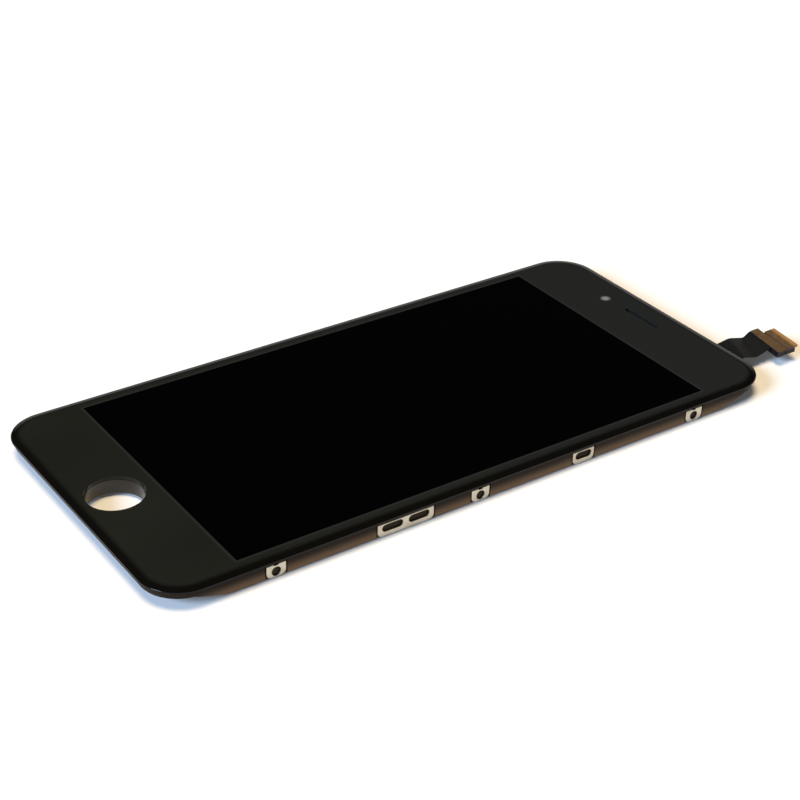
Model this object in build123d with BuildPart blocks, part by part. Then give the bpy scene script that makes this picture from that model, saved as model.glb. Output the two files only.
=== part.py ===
"""Display assembly for a phone: cover glass, LCD panel, backlight, moulded frame with clips, and flex tail.

Millimetres. The origin is the centre of the glass's front face. +X is the phone's right side seen from
the front, +Y points to the earpiece end and +Z out of the screen, so everything lies at or below z = 0.
"""

import os
from dataclasses import dataclass, field

from build123d import *

os.makedirs("parts", exist_ok=True)

# Viewing window of the panel.
window_width = 58.5
window_length = 104.0

# Cover glass and the black mask printed on its back.
glass_thickness = 0.75
glass_corner_radius = 8.0
glass_overhang = 0.6
edge_run = 1.3
edge_drop = 0.28
edge_top_radius = 4.0
edge_rim_radius = 0.25
back_bevel = 0.1
mask_thickness = 0.05
mask_margin = 0.3
mask_relief = 0.3

# Panel: how far its glass runs past the window, and its layers from front to back.
panel_side_border = 0.65
panel_home_border = 1.4
panel_top_border = 1.4
polariser_border = 0.6
ledge_length = 2.6
adhesive_thickness = 0.15
front_polariser_thickness = 0.12
filter_glass_thickness = 0.2
tft_glass_thickness = 0.2
rear_polariser_thickness = 0.1

# Driver chip on the ledge.
chip_length = 20.0
chip_width = 0.9
chip_thickness = 0.16
chip_gap = 0.5

# Backlight, from the tape behind the panel to the steel pan.
tape_thickness = 0.05
tape_window_gap = 0.35
prism_thickness = 0.07
diffuser_thickness = 0.06
guide_thickness = 0.4
reflector_thickness = 0.08
pan_thickness = 0.2
pan_wall = 0.2
pan_margin = 0.1
pan_wall_top_gap = 0.2
light_wall = 0.45
film_gap = 0.05
led_pitch = 5.4
led_end_margin = 1.0
led_width = 3.0
led_depth = 0.9
led_height = 0.36
led_gap = 0.05
led_strip_depth = 1.5

# Moulded frame behind the glass's border.
rim_clearance = 0.2
side_rim_width = 1.8
end_rim_width = 2.0
rim_depth = 1.2
wall_thickness = 1.0
wall_depth = 3.4
wall_edge_radius = 0.7
ramp_foot_inset = 13.5
ramp_top_inset = 6.0

# Clips let into the frame's side walls.
clip_sheet = 0.3
clip_top_depth = 0.55
clip_height = 2.65
clip_corner_radius = 1.1
clip_bend_radius = 0.25
clip_side_gap = 0.3
clip_back_gap = 0.15
clip_pocket_headroom = 0.1
clip_hole_radius = 0.9
clip_hole_height = 1.15
clip_notch_width = 0.9
clip_slot_height = 1.45
clip_slot_top = 0.32
clip_flange_inset = 0.6
clip_flange_land = 0.2

# Home-button collar, seated between the panel and the frame's home end.
home_hole_radius = 5.4
home_glass_gap = 0.05
home_glass_bevel = 0.12
collar_wall = 0.7
collar_depth = 2.7
collar_panel_gap = 0.2
collar_frame_gap = 0.05
collar_land = 1.5

# Screw tabs at the home end and hinge tabs at the earpiece end.
tab_sheet = 0.4
tab_width = 3.6
tab_height = 2.4
tab_flange_depth = 0.4
screw_tab_flange = 3.5
screw_tab_inset = 4.3
screw_tab_offset = 2.4
screw_hole_radius = 0.65
screw_hole_height = 0.95
hinge_tab_inset = 3.3
hinge_tab_flange = 2.4
hinge_tab_xs = (-21.0, 9.5)
hinge_lip = 1.0

# Earpiece slot and front-camera window, measured from the window's top edge.
earpiece_offset = 10.0
earpiece_slot_length = 10.0
earpiece_slot_width = 1.3
mesh_border = 0.8
mesh_thickness = 0.12
gasket_wall = 0.9
gasket_depth = 0.8
camera_offset = 9.3
camera_x = -11.0
camera_clear_radius = 1.1
camera_ring_bore = 1.9
camera_ring_radius = 3.0
camera_ring_depth = 1.1
camera_ring_bevel = 0.2

# Display flex: bonded on the ledge, round the panel's end, over the pan and out as the tail.
flex_thickness = 0.15
bond_length = 0.8
bend_reach = 0.85
bend_flat = 0.06
sheet_length = 12.0
wrap_left = -20.0
wrap_width = 32.0
tail_left = 15.3
tail_width = 7.6
tail_notch_gap = 0.5
tail_notch_headroom = 0.1
tail_lift_start = 1.4
tail_bend_radius = 3.0
tail_fold_radius = 1.6
head_bend_lead = 0.45
head_front = 0.95
head_left = 15.6
head_width = 9.6
head_length = 2.2
touch_head_left = 17.8
touch_head_width = 7.4
touch_head_length = 2.8

# Crest and trough of the tail past the glass's end: distance out and depth below the glass's front.
tail_exit_depth = 1.45
tail_crest_out = 3.4
tail_crest_depth = 0.85
tail_trough_out = 7.5
tail_trough_depth = 1.95
head_out = 10.0

# Stiffeners, connectors and chips on the flex.
stiffener_thickness = 0.2
touch_stiffener_thickness = 0.5
stiffener_overhang = 0.2
connector_margin = 0.35
connector_inset = 0.1
connector_height = 1.3
connector_wall = 0.4
connector_tongue = 0.6
contact_count = 10
contact_width = 0.22
contact_thickness = 0.1
contact_drop = 0.25
touch_flex_thickness = 0.1
touch_wrap_left = -16.0
touch_wrap_width = 22.0
touch_bond_length = 0.65
touch_bend_gap = 0.17
touch_sheet_length = 9.0
touch_chip_size = 4.0
touch_chip_height = 0.5
driver_chip_size = 3.2
driver_chip_height = 0.5
capacitor_length = 1.0
capacitor_width = 0.5
capacitor_height = 0.35
capacitor_pitch = 1.1
capacitor_count = 6


@dataclass
class Clip:
    """One sheet-metal clip in the frame's wall: a round hole, or slots given as (centre, length)."""

    name: str
    centre: float
    width: float
    slots: list = field(default_factory=list)


# The clips are set off from the window's middle and its two ends.
clips = [
    Clip("lower_clip", -window_length / 2 + 6.0, 3.8),
    Clip("double_slot_clip", -19.65, 11.9, [(-2.8, 4.4), (2.8, 4.4)]),
    Clip("middle_clip", -3.45, 3.9),
    Clip("single_slot_clip", 20.3, 5.0, [(0.0, 3.7)]),
    Clip("upper_clip", window_length / 2 - 4.2, 4.0),
]

# Plan sizes, worked outwards from the window.
panel_half_width = window_width / 2 + panel_side_border
panel_home_end = -window_length / 2 - panel_home_border
panel_top_end = window_length / 2 + panel_top_border
ledge_end = panel_top_end + ledge_length
pan_half_width = panel_half_width + pan_margin
pan_home_end = panel_home_end - 2 * pan_margin
pan_top_end = ledge_end + 2 * pan_margin
frame_inner_half_width = pan_half_width + rim_clearance
frame_half_width = frame_inner_half_width + side_rim_width
glass_half_width = frame_half_width + glass_overhang
collar_radius = home_hole_radius + collar_wall
home_y = pan_home_end - collar_panel_gap - collar_radius
frame_half_length = -home_y + collar_radius + collar_land
glass_half_length = frame_half_length + glass_overhang
frame_corner_radius = glass_corner_radius - glass_overhang
earpiece_y = window_length / 2 + earpiece_offset
camera_y = window_length / 2 + camera_offset

# Depths, worked backwards from the glass's front face.
mask_front = -glass_thickness
mask_back = mask_front - mask_thickness
polariser_front = mask_back - adhesive_thickness
filter_front = polariser_front - front_polariser_thickness
tft_front = filter_front - filter_glass_thickness
rear_polariser_front = tft_front - tft_glass_thickness
tape_front = rear_polariser_front - rear_polariser_thickness
film_front = tape_front - tape_thickness
guide_front = film_front - 2 * prism_thickness - diffuser_thickness
reflector_front = guide_front - guide_thickness
pan_front = reflector_front - reflector_thickness
pan_back = pan_front - pan_thickness
sheet_back = pan_back - flex_thickness
rim_back = mask_back - rim_depth
wall_back = mask_back - wall_depth
clip_top = mask_back - clip_top_depth
clip_bottom = clip_top - clip_height
flange_top = mask_back - tab_flange_depth


# Cover glass: the front face falls away in a soft curve to a thin rim.
with BuildPart() as cover_glass:
    with BuildSketch():
        RectangleRounded(2 * glass_half_width, 2 * glass_half_length, glass_corner_radius)
    extrude(amount=-glass_thickness)
    front_face = cover_glass.faces().sort_by(Axis.Z)[-1]
    chamfer(front_face.edges(), length=edge_run, length2=edge_drop, reference=front_face)
    fillet(
        cover_glass.edges().filter_by_position(Axis.Z, -1.1 * edge_drop, -0.9 * edge_drop),
        radius=edge_rim_radius,
    )
    fillet(cover_glass.faces().sort_by(Axis.Z)[-1].edges(), radius=edge_top_radius)
    chamfer(cover_glass.faces().sort_by(Axis.Z)[0].edges(), length=back_bevel)
    with BuildSketch():
        with Locations((0, home_y)):
            Circle(home_hole_radius + home_glass_gap)
        with Locations((0, earpiece_y)):
            SlotOverall(earpiece_slot_length, earpiece_slot_width)
    extrude(amount=-glass_thickness, mode=Mode.SUBTRACT)
    hole_rim = cover_glass.edges().filter_by(GeomType.CIRCLE).filter_by(
        lambda e: abs(e.radius - home_hole_radius - home_glass_gap) < home_glass_gap
    )
    chamfer(hole_rim.sort_by(Axis.Z)[-1], length=home_glass_bevel)
cover_glass.part.label = "cover_glass"
export_step(cover_glass.part, "parts/cover_glass.step")

# Printed mask: black border, open at the window, the button, the earpiece and the camera.
with BuildPart() as ink_mask:
    with BuildSketch(Plane.XY.offset(mask_front)):
        RectangleRounded(
            2 * (glass_half_width - mask_margin),
            2 * (glass_half_length - mask_margin),
            glass_corner_radius - mask_margin,
        )
        Rectangle(window_width, window_length, mode=Mode.SUBTRACT)
        with Locations((0, home_y)):
            Circle(home_hole_radius + mask_relief, mode=Mode.SUBTRACT)
        with Locations((0, earpiece_y)):
            SlotOverall(
                earpiece_slot_length + 2 * mask_relief,
                earpiece_slot_width + 2 * mask_relief,
                mode=Mode.SUBTRACT,
            )
        with Locations((camera_x, camera_y)):
            Circle(camera_clear_radius, mode=Mode.SUBTRACT)
    extrude(amount=-mask_thickness)
ink_mask.part.label = "ink_mask"
export_step(ink_mask.part, "parts/ink_mask.step")

# Clear adhesive: fills the mask's window and laps its edge as far as the polariser goes.
polariser_half_width = window_width / 2 + polariser_border
polariser_half_length = window_length / 2 + polariser_border
with BuildPart() as optical_adhesive:
    with BuildSketch(Plane.XY.offset(mask_back)):
        Rectangle(2 * polariser_half_width, 2 * polariser_half_length)
    extrude(amount=-adhesive_thickness)
    with BuildSketch(Plane.XY.offset(mask_front)):
        Rectangle(window_width, window_length)
    extrude(amount=-mask_thickness)
optical_adhesive.part.label = "optical_adhesive"
export_step(optical_adhesive.part, "parts/optical_adhesive.step")


def sheet(label, half_width, low_y, high_y, front, thickness):
    """A flat layer of the panel or the backlight, with its front face at the depth given."""
    with BuildPart() as layer:
        with BuildSketch(Plane.XY.offset(front)):
            with Locations((0, (low_y + high_y) / 2)):
                Rectangle(2 * half_width, high_y - low_y)
        extrude(amount=-thickness)
    layer.part.label = label
    export_step(layer.part, f"parts/{label}.step")


# Panel: two glasses between polarisers. The rear glass runs on as the ledge that carries the chip.
sheet(
    "front_polariser", polariser_half_width, -polariser_half_length, polariser_half_length,
    polariser_front, front_polariser_thickness,
)
sheet(
    "colour_filter_glass", panel_half_width, panel_home_end, panel_top_end,
    filter_front, filter_glass_thickness,
)
sheet("tft_glass", panel_half_width, panel_home_end, ledge_end, tft_front, tft_glass_thickness)
sheet(
    "rear_polariser", polariser_half_width, -polariser_half_length, polariser_half_length,
    rear_polariser_front, rear_polariser_thickness,
)

with BuildPart() as driver_chip:
    with BuildSketch(Plane.XY.offset(tft_front)):
        with Locations((0, panel_top_end + chip_gap + chip_width / 2)):
            Rectangle(chip_length, chip_width)
    extrude(amount=chip_thickness)
driver_chip.part.label = "driver_chip"
export_step(driver_chip.part, "parts/driver_chip.step")

# Backlight. The pan's folded walls hold the moulded frame, and the frame holds the films.
light_half_width = pan_half_width - pan_wall
light_home_end = pan_home_end + pan_wall
light_top_end = pan_top_end - pan_wall
film_half_width = light_half_width - light_wall - film_gap
film_home_end = light_home_end + light_wall + film_gap
led_strip_end = light_top_end - light_wall
led_centre_y = led_strip_end - led_strip_depth + led_gap + led_depth / 2
led_count = int((2 * (film_half_width - led_end_margin) - led_width) / led_pitch) + 1
film_top_end = led_strip_end - led_strip_depth

with BuildPart() as panel_tape:
    with BuildSketch(Plane.XY.offset(tape_front)):
        with Locations((0, (light_home_end + light_top_end) / 2)):
            Rectangle(2 * light_half_width, light_top_end - light_home_end)
        Rectangle(
            window_width + 2 * tape_window_gap, window_length + 2 * tape_window_gap, mode=Mode.SUBTRACT
        )
    extrude(amount=-tape_thickness)
panel_tape.part.label = "panel_tape"
export_step(panel_tape.part, "parts/panel_tape.step")

sheet("upper_prism_film", film_half_width, film_home_end, film_top_end, film_front, prism_thickness)
sheet(
    "lower_prism_film", film_half_width, film_home_end, film_top_end,
    film_front - prism_thickness, prism_thickness,
)
sheet(
    "diffuser_sheet", film_half_width, film_home_end, film_top_end,
    film_front - 2 * prism_thickness, diffuser_thickness,
)
sheet("light_guide", film_half_width, film_home_end, film_top_end, guide_front, guide_thickness)
sheet("reflector_sheet", film_half_width, film_home_end, film_top_end, reflector_front, reflector_thickness)
sheet("led_strip", film_half_width, film_top_end, led_strip_end, reflector_front, reflector_thickness)

with BuildPart() as led_row:
    with BuildSketch(Plane.XY.offset(reflector_front)):
        with Locations((0, led_centre_y)):
            with GridLocations(led_pitch, 1, led_count, 1):
                Rectangle(led_width, led_depth)
    extrude(amount=led_height)
led_row.part.label = "led_row"
export_step(led_row.part, "parts/led_row.step")

with BuildPart() as backlight_frame:
    with BuildSketch(Plane.XY.offset(film_front)):
        with Locations((0, (light_home_end + light_top_end) / 2)):
            Rectangle(2 * light_half_width, light_top_end - light_home_end)
            Rectangle(
                2 * (light_half_width - light_wall),
                light_top_end - light_home_end - 2 * light_wall,
                mode=Mode.SUBTRACT,
            )
    extrude(amount=pan_front - film_front)
backlight_frame.part.label = "backlight_frame"
export_step(backlight_frame.part, "parts/backlight_frame.step")

with BuildPart() as backlight_pan:
    with BuildSketch(Plane.XY.offset(pan_back)):
        with Locations((0, (pan_home_end + pan_top_end) / 2)):
            Rectangle(2 * pan_half_width, pan_top_end - pan_home_end)
    extrude(amount=film_front - pan_wall_top_gap - pan_back)
    fillet(backlight_pan.faces().sort_by(Axis.Z)[0].edges(), radius=pan_thickness / 2)
    with BuildSketch(Plane.XY.offset(pan_front)):
        with Locations((0, (light_home_end + light_top_end) / 2)):
            Rectangle(2 * light_half_width, light_top_end - light_home_end)
    extrude(amount=film_front - pan_front, mode=Mode.SUBTRACT)
backlight_pan.part.label = "backlight_pan"
export_step(backlight_pan.part, "parts/backlight_pan.step")

# Moulded frame: a rim glued to the mask all round, with deep walls along both sides that ramp up
# to the rim before the corners, pockets for the clips and a notch for the tail.
frame_inner_end = frame_half_length - end_rim_width
screw_tab_y = -frame_half_length + screw_tab_inset
screw_tab_x = collar_radius + screw_tab_offset
hinge_tab_y = frame_half_length - hinge_tab_inset
tail_centre = tail_left + tail_width / 2
notch_top = -tail_exit_depth + flex_thickness / 2 + tail_notch_headroom
clip_plane = frame_half_width - clip_sheet
clip_flange_reach = side_rim_width - clip_sheet - clip_flange_land

with BuildPart() as bezel_frame:
    with BuildSketch(Plane.XY.offset(mask_back)):
        RectangleRounded(2 * frame_half_width, 2 * frame_half_length, frame_corner_radius)
    extrude(amount=-wall_depth)
    fillet(bezel_frame.faces().sort_by(Axis.Z)[0].edges(), radius=wall_edge_radius)
    with BuildSketch(Plane.XY.offset(mask_back)):
        RectangleRounded(
            2 * frame_inner_half_width, 2 * frame_inner_end, frame_corner_radius - end_rim_width
        )
    extrude(amount=-wall_depth, mode=Mode.SUBTRACT)
    with BuildSketch(Plane.XY.offset(rim_back)):
        RectangleRounded(
            2 * (frame_half_width - wall_thickness),
            2 * (frame_half_length - wall_thickness),
            frame_corner_radius - wall_thickness,
        )
    extrude(amount=wall_back - rim_back, mode=Mode.SUBTRACT)
    with BuildSketch(Plane.YZ):
        with BuildLine():
            Polyline(
                (frame_half_length - ramp_foot_inset, wall_back),
                (frame_half_length - ramp_top_inset, rim_back),
                (glass_half_length, rim_back),
                (glass_half_length, wall_back),
                close=True,
            )
        make_face()
        mirror(about=Plane.YZ)
    extrude(amount=frame_half_width, both=True, mode=Mode.SUBTRACT)
    for side in (-1, 1):
        for clip in clips:
            pocket_depth = clip_sheet + clip_back_gap
            with BuildSketch(Plane.YZ.offset(side * frame_half_width)):
                with Locations((clip.centre, (clip_top + clip_pocket_headroom + wall_back) / 2)):
                    Rectangle(
                        clip.width + 2 * clip_side_gap, clip_top + clip_pocket_headroom - wall_back
                    )
            extrude(amount=-side * pocket_depth, mode=Mode.SUBTRACT)
            with BuildSketch(Plane.YZ.offset(side * clip_plane)):
                with Locations((clip.centre, clip_top - clip_sheet / 2)):
                    Rectangle(clip.width - 2 * clip_flange_inset, clip_sheet)
            extrude(amount=-side * clip_flange_reach, mode=Mode.SUBTRACT)
    with BuildSketch(Plane.XY.offset(mask_back)):
        with Locations((0, home_y)):
            Circle(collar_radius + collar_frame_gap)
    extrude(amount=-rim_depth, mode=Mode.SUBTRACT)
    with BuildSketch(Plane.XZ.offset(-frame_half_length)):
        with Locations((tail_centre, (rim_back + notch_top) / 2)):
            Rectangle(tail_width + 2 * tail_notch_gap, notch_top - rim_back)
    extrude(amount=end_rim_width, mode=Mode.SUBTRACT)
    with BuildSketch(Plane.XY.offset(flange_top)):
        for tab_x in (-screw_tab_x, screw_tab_x):
            with Locations((tab_x, screw_tab_y - screw_tab_flange / 2)):
                Rectangle(tab_width, screw_tab_flange)
        for tab_x in hinge_tab_xs:
            with Locations((tab_x, hinge_tab_y + hinge_tab_flange / 2)):
                Rectangle(tab_width, hinge_tab_flange)
    extrude(amount=-tab_sheet, mode=Mode.SUBTRACT)
bezel_frame.part.label = "bezel_frame"
export_step(bezel_frame.part, "parts/bezel_frame.step")

# Clips: a flat face with rounded lower corners, hung in its pocket by a flange bent into the rim.
for side, side_name in ((-1, "left"), (1, "right")):
    for clip in clips:
        with BuildPart() as clip_part:
            with BuildSketch(Plane.YZ.offset(side * clip_plane)) as face_sketch:
                with Locations((clip.centre, (clip_top + clip_bottom) / 2)):
                    Rectangle(clip.width, clip_height)
                fillet(face_sketch.vertices().group_by(Axis.Y)[0], radius=clip_corner_radius)
                for slot_centre, slot_length in clip.slots:
                    with Locations(
                        (clip.centre + slot_centre, clip_top - clip_slot_top - clip_slot_height / 2)
                    ):
                        SlotOverall(slot_length, clip_slot_height, mode=Mode.SUBTRACT)
                if not clip.slots:
                    with Locations((clip.centre, clip_bottom + clip_hole_height)):
                        Circle(clip_hole_radius, mode=Mode.SUBTRACT)
            extrude(amount=side * clip_sheet)
            with BuildSketch(Plane.YZ.offset(side * clip_plane)):
                with Locations((clip.centre, clip_top - clip_sheet / 2)):
                    Rectangle(clip.width - 2 * clip_flange_inset, clip_sheet)
            extrude(amount=-side * clip_flange_reach)
            top_edges = clip_part.edges().filter_by(Axis.Y).group_by(Axis.Z)[-1]
            fillet(top_edges.sort_by(Axis.X)[-1 if side > 0 else 0], radius=clip_bend_radius)
            if not clip.slots:
                with BuildSketch(Plane.YZ.offset(side * frame_half_width)):
                    with Locations((clip.centre, clip_top - clip_sheet / 2)):
                        Rectangle(clip_notch_width, clip_sheet)
                extrude(amount=-side * side_rim_width, mode=Mode.SUBTRACT)
        clip_part.part.label = f"{clip.name}_{side_name}"
        export_step(clip_part.part, f"parts/{clip.name}_{side_name}.step")

# Screw tabs at the home end: a flange moulded into the rim and a face with a screw hole.
for side, side_name in ((-1, "left"), (1, "right")):
    with BuildPart() as screw_tab:
        with BuildSketch(Plane.XZ.offset(-screw_tab_y)) as face_sketch:
            with Locations((side * screw_tab_x, flange_top - tab_height / 2)):
                Rectangle(tab_width, tab_height)
            fillet(face_sketch.vertices().group_by(Axis.Y)[0], radius=clip_corner_radius)
            with Locations((side * screw_tab_x, flange_top - tab_height + screw_hole_height)):
                Circle(screw_hole_radius, mode=Mode.SUBTRACT)
        extrude(amount=-tab_sheet)
        with BuildSketch(Plane.XY.offset(flange_top)):
            with Locations((side * screw_tab_x, screw_tab_y - screw_tab_flange / 2)):
                Rectangle(tab_width, screw_tab_flange)
        extrude(amount=-tab_sheet)
    screw_tab.part.label = f"screw_tab_{side_name}"
    export_step(screw_tab.part, f"parts/screw_tab_{side_name}.step")

# Hinge tabs at the earpiece end: a flange moulded into the rim, a face and a lip turned outwards.
for tab_x, side_name in zip(hinge_tab_xs, ("left", "right")):
    with BuildPart() as hinge_tab:
        with BuildSketch(Plane.XY.offset(flange_top)):
            with Locations((tab_x, hinge_tab_y + hinge_tab_flange / 2)):
                Rectangle(tab_width, hinge_tab_flange)
        extrude(amount=-tab_sheet)
        with BuildSketch(Plane.XY.offset(flange_top)):
            with Locations((tab_x, hinge_tab_y - tab_sheet / 2)):
                Rectangle(tab_width, tab_sheet)
        extrude(amount=-tab_height)
        with BuildSketch(Plane.XY.offset(flange_top - tab_height)):
            with Locations((tab_x, hinge_tab_y + hinge_lip / 2)):
                Rectangle(tab_width, hinge_lip)
        extrude(amount=tab_sheet)
    hinge_tab.part.label = f"hinge_tab_{side_name}"
    export_step(hinge_tab.part, f"parts/hinge_tab_{side_name}.step")

# Collar behind the home-button hole.
with BuildPart() as home_button_collar:
    with BuildSketch(Plane.XY.offset(mask_back)):
        with Locations((0, home_y)):
            Circle(collar_radius)
            Circle(home_hole_radius, mode=Mode.SUBTRACT)
    extrude(amount=-collar_depth)
home_button_collar.part.label = "home_button_collar"
export_step(home_button_collar.part, "parts/home_button_collar.step")

# Earpiece mesh behind the slot, and the gasket that holds it.
mesh_length = earpiece_slot_length + 2 * mesh_border
mesh_width = earpiece_slot_width + 2 * mesh_border
with BuildPart() as earpiece_mesh:
    with BuildSketch(Plane.XY.offset(mask_back)):
        with Locations((0, earpiece_y)):
            SlotOverall(mesh_length, mesh_width)
    extrude(amount=-mesh_thickness)
earpiece_mesh.part.label = "earpiece_mesh"
export_step(earpiece_mesh.part, "parts/earpiece_mesh.step")

with BuildPart() as earpiece_gasket:
    with BuildSketch(Plane.XY.offset(mask_back - mesh_thickness)):
        with Locations((0, earpiece_y)):
            SlotOverall(mesh_length, mesh_width)
            SlotOverall(mesh_length - 2 * gasket_wall, mesh_width - 2 * gasket_wall, mode=Mode.SUBTRACT)
    extrude(amount=-gasket_depth)
earpiece_gasket.part.label = "earpiece_gasket"
export_step(earpiece_gasket.part, "parts/earpiece_gasket.step")

# Ring that centres the front camera behind its clear spot.
with BuildPart() as camera_ring:
    with BuildSketch(Plane.XY.offset(mask_back)):
        with Locations((camera_x, camera_y)):
            Circle(camera_ring_radius)
            Circle(camera_ring_bore, mode=Mode.SUBTRACT)
    extrude(amount=-camera_ring_depth)
    chamfer(camera_ring.faces().sort_by(Axis.Z)[0].outer_wire().edges(), length=camera_ring_bevel)
camera_ring.part.label = "camera_ring"
export_step(camera_ring.part, "parts/camera_ring.step")

# Display flex.
bond_middle = tft_front + flex_thickness / 2
sheet_middle = pan_back - flex_thickness / 2
bend_end = pan_top_end + bend_reach
bend_radius = (bond_middle - sheet_middle - bend_flat) / 2
sheet_start = pan_top_end - sheet_length
tail_right = tail_left + tail_width
head_middle = -head_front - flex_thickness / 2
head_y = glass_half_length + head_out
touch_head_y = head_y + head_length

with BuildPart() as display_flex:
    with BuildSketch(Plane.YZ.offset(wrap_left)):
        with BuildLine():
            FilletPolyline(
                (ledge_end - bond_length, bond_middle),
                (bend_end, bond_middle),
                (bend_end, sheet_middle),
                (sheet_start, sheet_middle),
                radius=bend_radius,
            )
        trace(line_width=flex_thickness)
    extrude(amount=wrap_width)
    with BuildSketch(Plane.XY.offset(pan_back)):
        with Locations(((wrap_left + tail_right) / 2, (sheet_start + pan_top_end) / 2)):
            Rectangle(tail_right - wrap_left, sheet_length)
    extrude(amount=-flex_thickness)
    with BuildSketch(Plane.YZ.offset(tail_left)):
        with BuildLine():
            FilletPolyline(
                (sheet_start, sheet_middle),
                (pan_top_end + tail_lift_start, sheet_middle),
                (frame_inner_end - tail_lift_start, -tail_exit_depth),
                (glass_half_length, -tail_exit_depth),
                (glass_half_length + tail_crest_out, -tail_crest_depth),
                (glass_half_length + tail_trough_out, -tail_trough_depth),
                (head_y - head_bend_lead, head_middle),
                (touch_head_y, head_middle),
                radius=[tail_bend_radius] * 4 + [tail_fold_radius] * 2,
            )
        trace(line_width=flex_thickness)
    extrude(amount=tail_width)
    with BuildSketch(Plane.XY.offset(-head_front)):
        with Locations((head_left + head_width / 2, head_y + head_length / 2)):
            Rectangle(head_width, head_length)
        with Locations((touch_head_left + touch_head_width / 2, touch_head_y + touch_head_length / 2)):
            Rectangle(touch_head_width, touch_head_length)
    extrude(amount=-flex_thickness)
display_flex.part.label = "display_flex"
export_step(display_flex.part, "parts/display_flex.step")


@dataclass
class Head:
    """One connector at the tail's end: its place on the flex and its stiffener."""

    name: str
    left: float
    width: float
    low_y: float
    length: float
    stiffener: float


heads = [
    Head("display", head_left, head_width, head_y, head_length, stiffener_thickness),
    Head(
        "touch", touch_head_left, touch_head_width, touch_head_y, touch_head_length,
        touch_stiffener_thickness,
    ),
]

# Stiffener over each head, connector housing under it, and its two rows of contacts.
for head in heads:
    middle_x = head.left + head.width / 2
    middle_y = head.low_y + head.length / 2
    housing_front = -head_front - flex_thickness
    housing_width = head.width - 2 * connector_margin
    housing_length = head.length - 2 * connector_inset
    contact_pitch = (housing_width - 4 * connector_wall) / contact_count
    with BuildPart() as stiffener:
        with BuildSketch(Plane.XY.offset(-head_front)):
            with Locations((middle_x, middle_y)):
                Rectangle(head.width + 2 * stiffener_overhang, head.length)
        extrude(amount=head.stiffener)
    stiffener.part.label = f"{head.name}_stiffener"
    export_step(stiffener.part, f"parts/{head.name}_stiffener.step")

    with BuildPart() as connector:
        with BuildSketch(Plane.XY.offset(housing_front)):
            with Locations((middle_x, middle_y)):
                Rectangle(housing_width, housing_length)
        extrude(amount=-connector_height)
        with BuildSketch(Plane.XY.offset(housing_front - connector_height)):
            with Locations((middle_x, middle_y)):
                Rectangle(housing_width - 2 * connector_wall, housing_length - 2 * connector_wall)
                Rectangle(
                    housing_width - 4 * connector_wall, connector_tongue, mode=Mode.SUBTRACT
                )
        extrude(amount=connector_height - connector_wall, mode=Mode.SUBTRACT)
    connector.part.label = f"{head.name}_connector"
    export_step(connector.part, f"parts/{head.name}_connector.step")

    with BuildPart() as contacts:
        with BuildSketch(Plane.XY.offset(housing_front - connector_height + contact_drop)):
            with Locations((middle_x, middle_y)):
                with GridLocations(
                    contact_pitch, connector_tongue + contact_thickness, contact_count, 2
                ):
                    Rectangle(contact_width, contact_thickness)
        extrude(amount=connector_height - connector_wall - contact_drop)
    contacts.part.label = f"{head.name}_contacts"
    export_step(contacts.part, f"parts/{head.name}_contacts.step")

# Touch flex: bonded on the filter glass, bent round outside the display flex and laid on its sheet.
touch_bond_middle = filter_front + touch_flex_thickness / 2
touch_sheet_middle = sheet_back - touch_flex_thickness / 2
touch_bend_end = bend_end + touch_bend_gap + (flex_thickness + touch_flex_thickness) / 2
touch_bend_radius = (touch_bond_middle - touch_sheet_middle - bend_flat) / 2
touch_sheet_start = pan_top_end - touch_sheet_length
touch_back = sheet_back - touch_flex_thickness
with BuildPart() as touch_flex:
    with BuildSketch(Plane.YZ.offset(touch_wrap_left)):
        with BuildLine():
            FilletPolyline(
                (panel_top_end - touch_bond_length, touch_bond_middle),
                (touch_bend_end, touch_bond_middle),
                (touch_bend_end, touch_sheet_middle),
                (touch_sheet_start, touch_sheet_middle),
                radius=touch_bend_radius,
            )
        trace(line_width=touch_flex_thickness)
    extrude(amount=touch_wrap_width)
touch_flex.part.label = "touch_flex"
export_step(touch_flex.part, "parts/touch_flex.step")

# Chips and capacitors on the back of the two flexes.
component_y = pan_top_end - sheet_length / 2
with BuildPart() as touch_chip:
    with BuildSketch(Plane.XY.offset(touch_back)):
        with Locations((touch_wrap_left + touch_wrap_width / 2, component_y)):
            Rectangle(touch_chip_size, touch_chip_size)
    extrude(amount=-touch_chip_height)
touch_chip.part.label = "touch_chip"
export_step(touch_chip.part, "parts/touch_chip.step")

touch_wrap_right = touch_wrap_left + touch_wrap_width
chip_x = touch_wrap_right + driver_chip_size
with BuildPart() as backlight_chip:
    with BuildSketch(Plane.XY.offset(sheet_back)):
        with Locations((chip_x, component_y)):
            Rectangle(driver_chip_size, driver_chip_size)
    extrude(amount=-driver_chip_height)
backlight_chip.part.label = "backlight_chip"
export_step(backlight_chip.part, "parts/backlight_chip.step")

with BuildPart() as flex_capacitors:
    with BuildSketch(Plane.XY.offset(sheet_back)):
        with Locations((tail_centre, component_y)):
            with GridLocations(2 * capacitor_length, capacitor_pitch, 2, capacitor_count // 2):
                Rectangle(capacitor_length, capacitor_width)
    extrude(amount=-capacitor_height)
flex_capacitors.part.label = "flex_capacitors"
export_step(flex_capacitors.part, "parts/flex_capacitors.step")
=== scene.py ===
"""Phone display assembly, glass up on a pale floor: finishes, fine pieces, light and camera.

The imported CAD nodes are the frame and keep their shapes. Thin formed and moulded parts get
copies with softened edges, the flex tail gets its twist, and the earpiece gets its perforated
grille. Everything is in metres, in the frame of the CAD model, apart from sizes whose names
end in _mm.
"""

import logging
import math
from dataclasses import dataclass
from enum import Enum
from typing import Any

import bmesh
import bpy
from mathutils import Matrix, Vector


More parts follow.
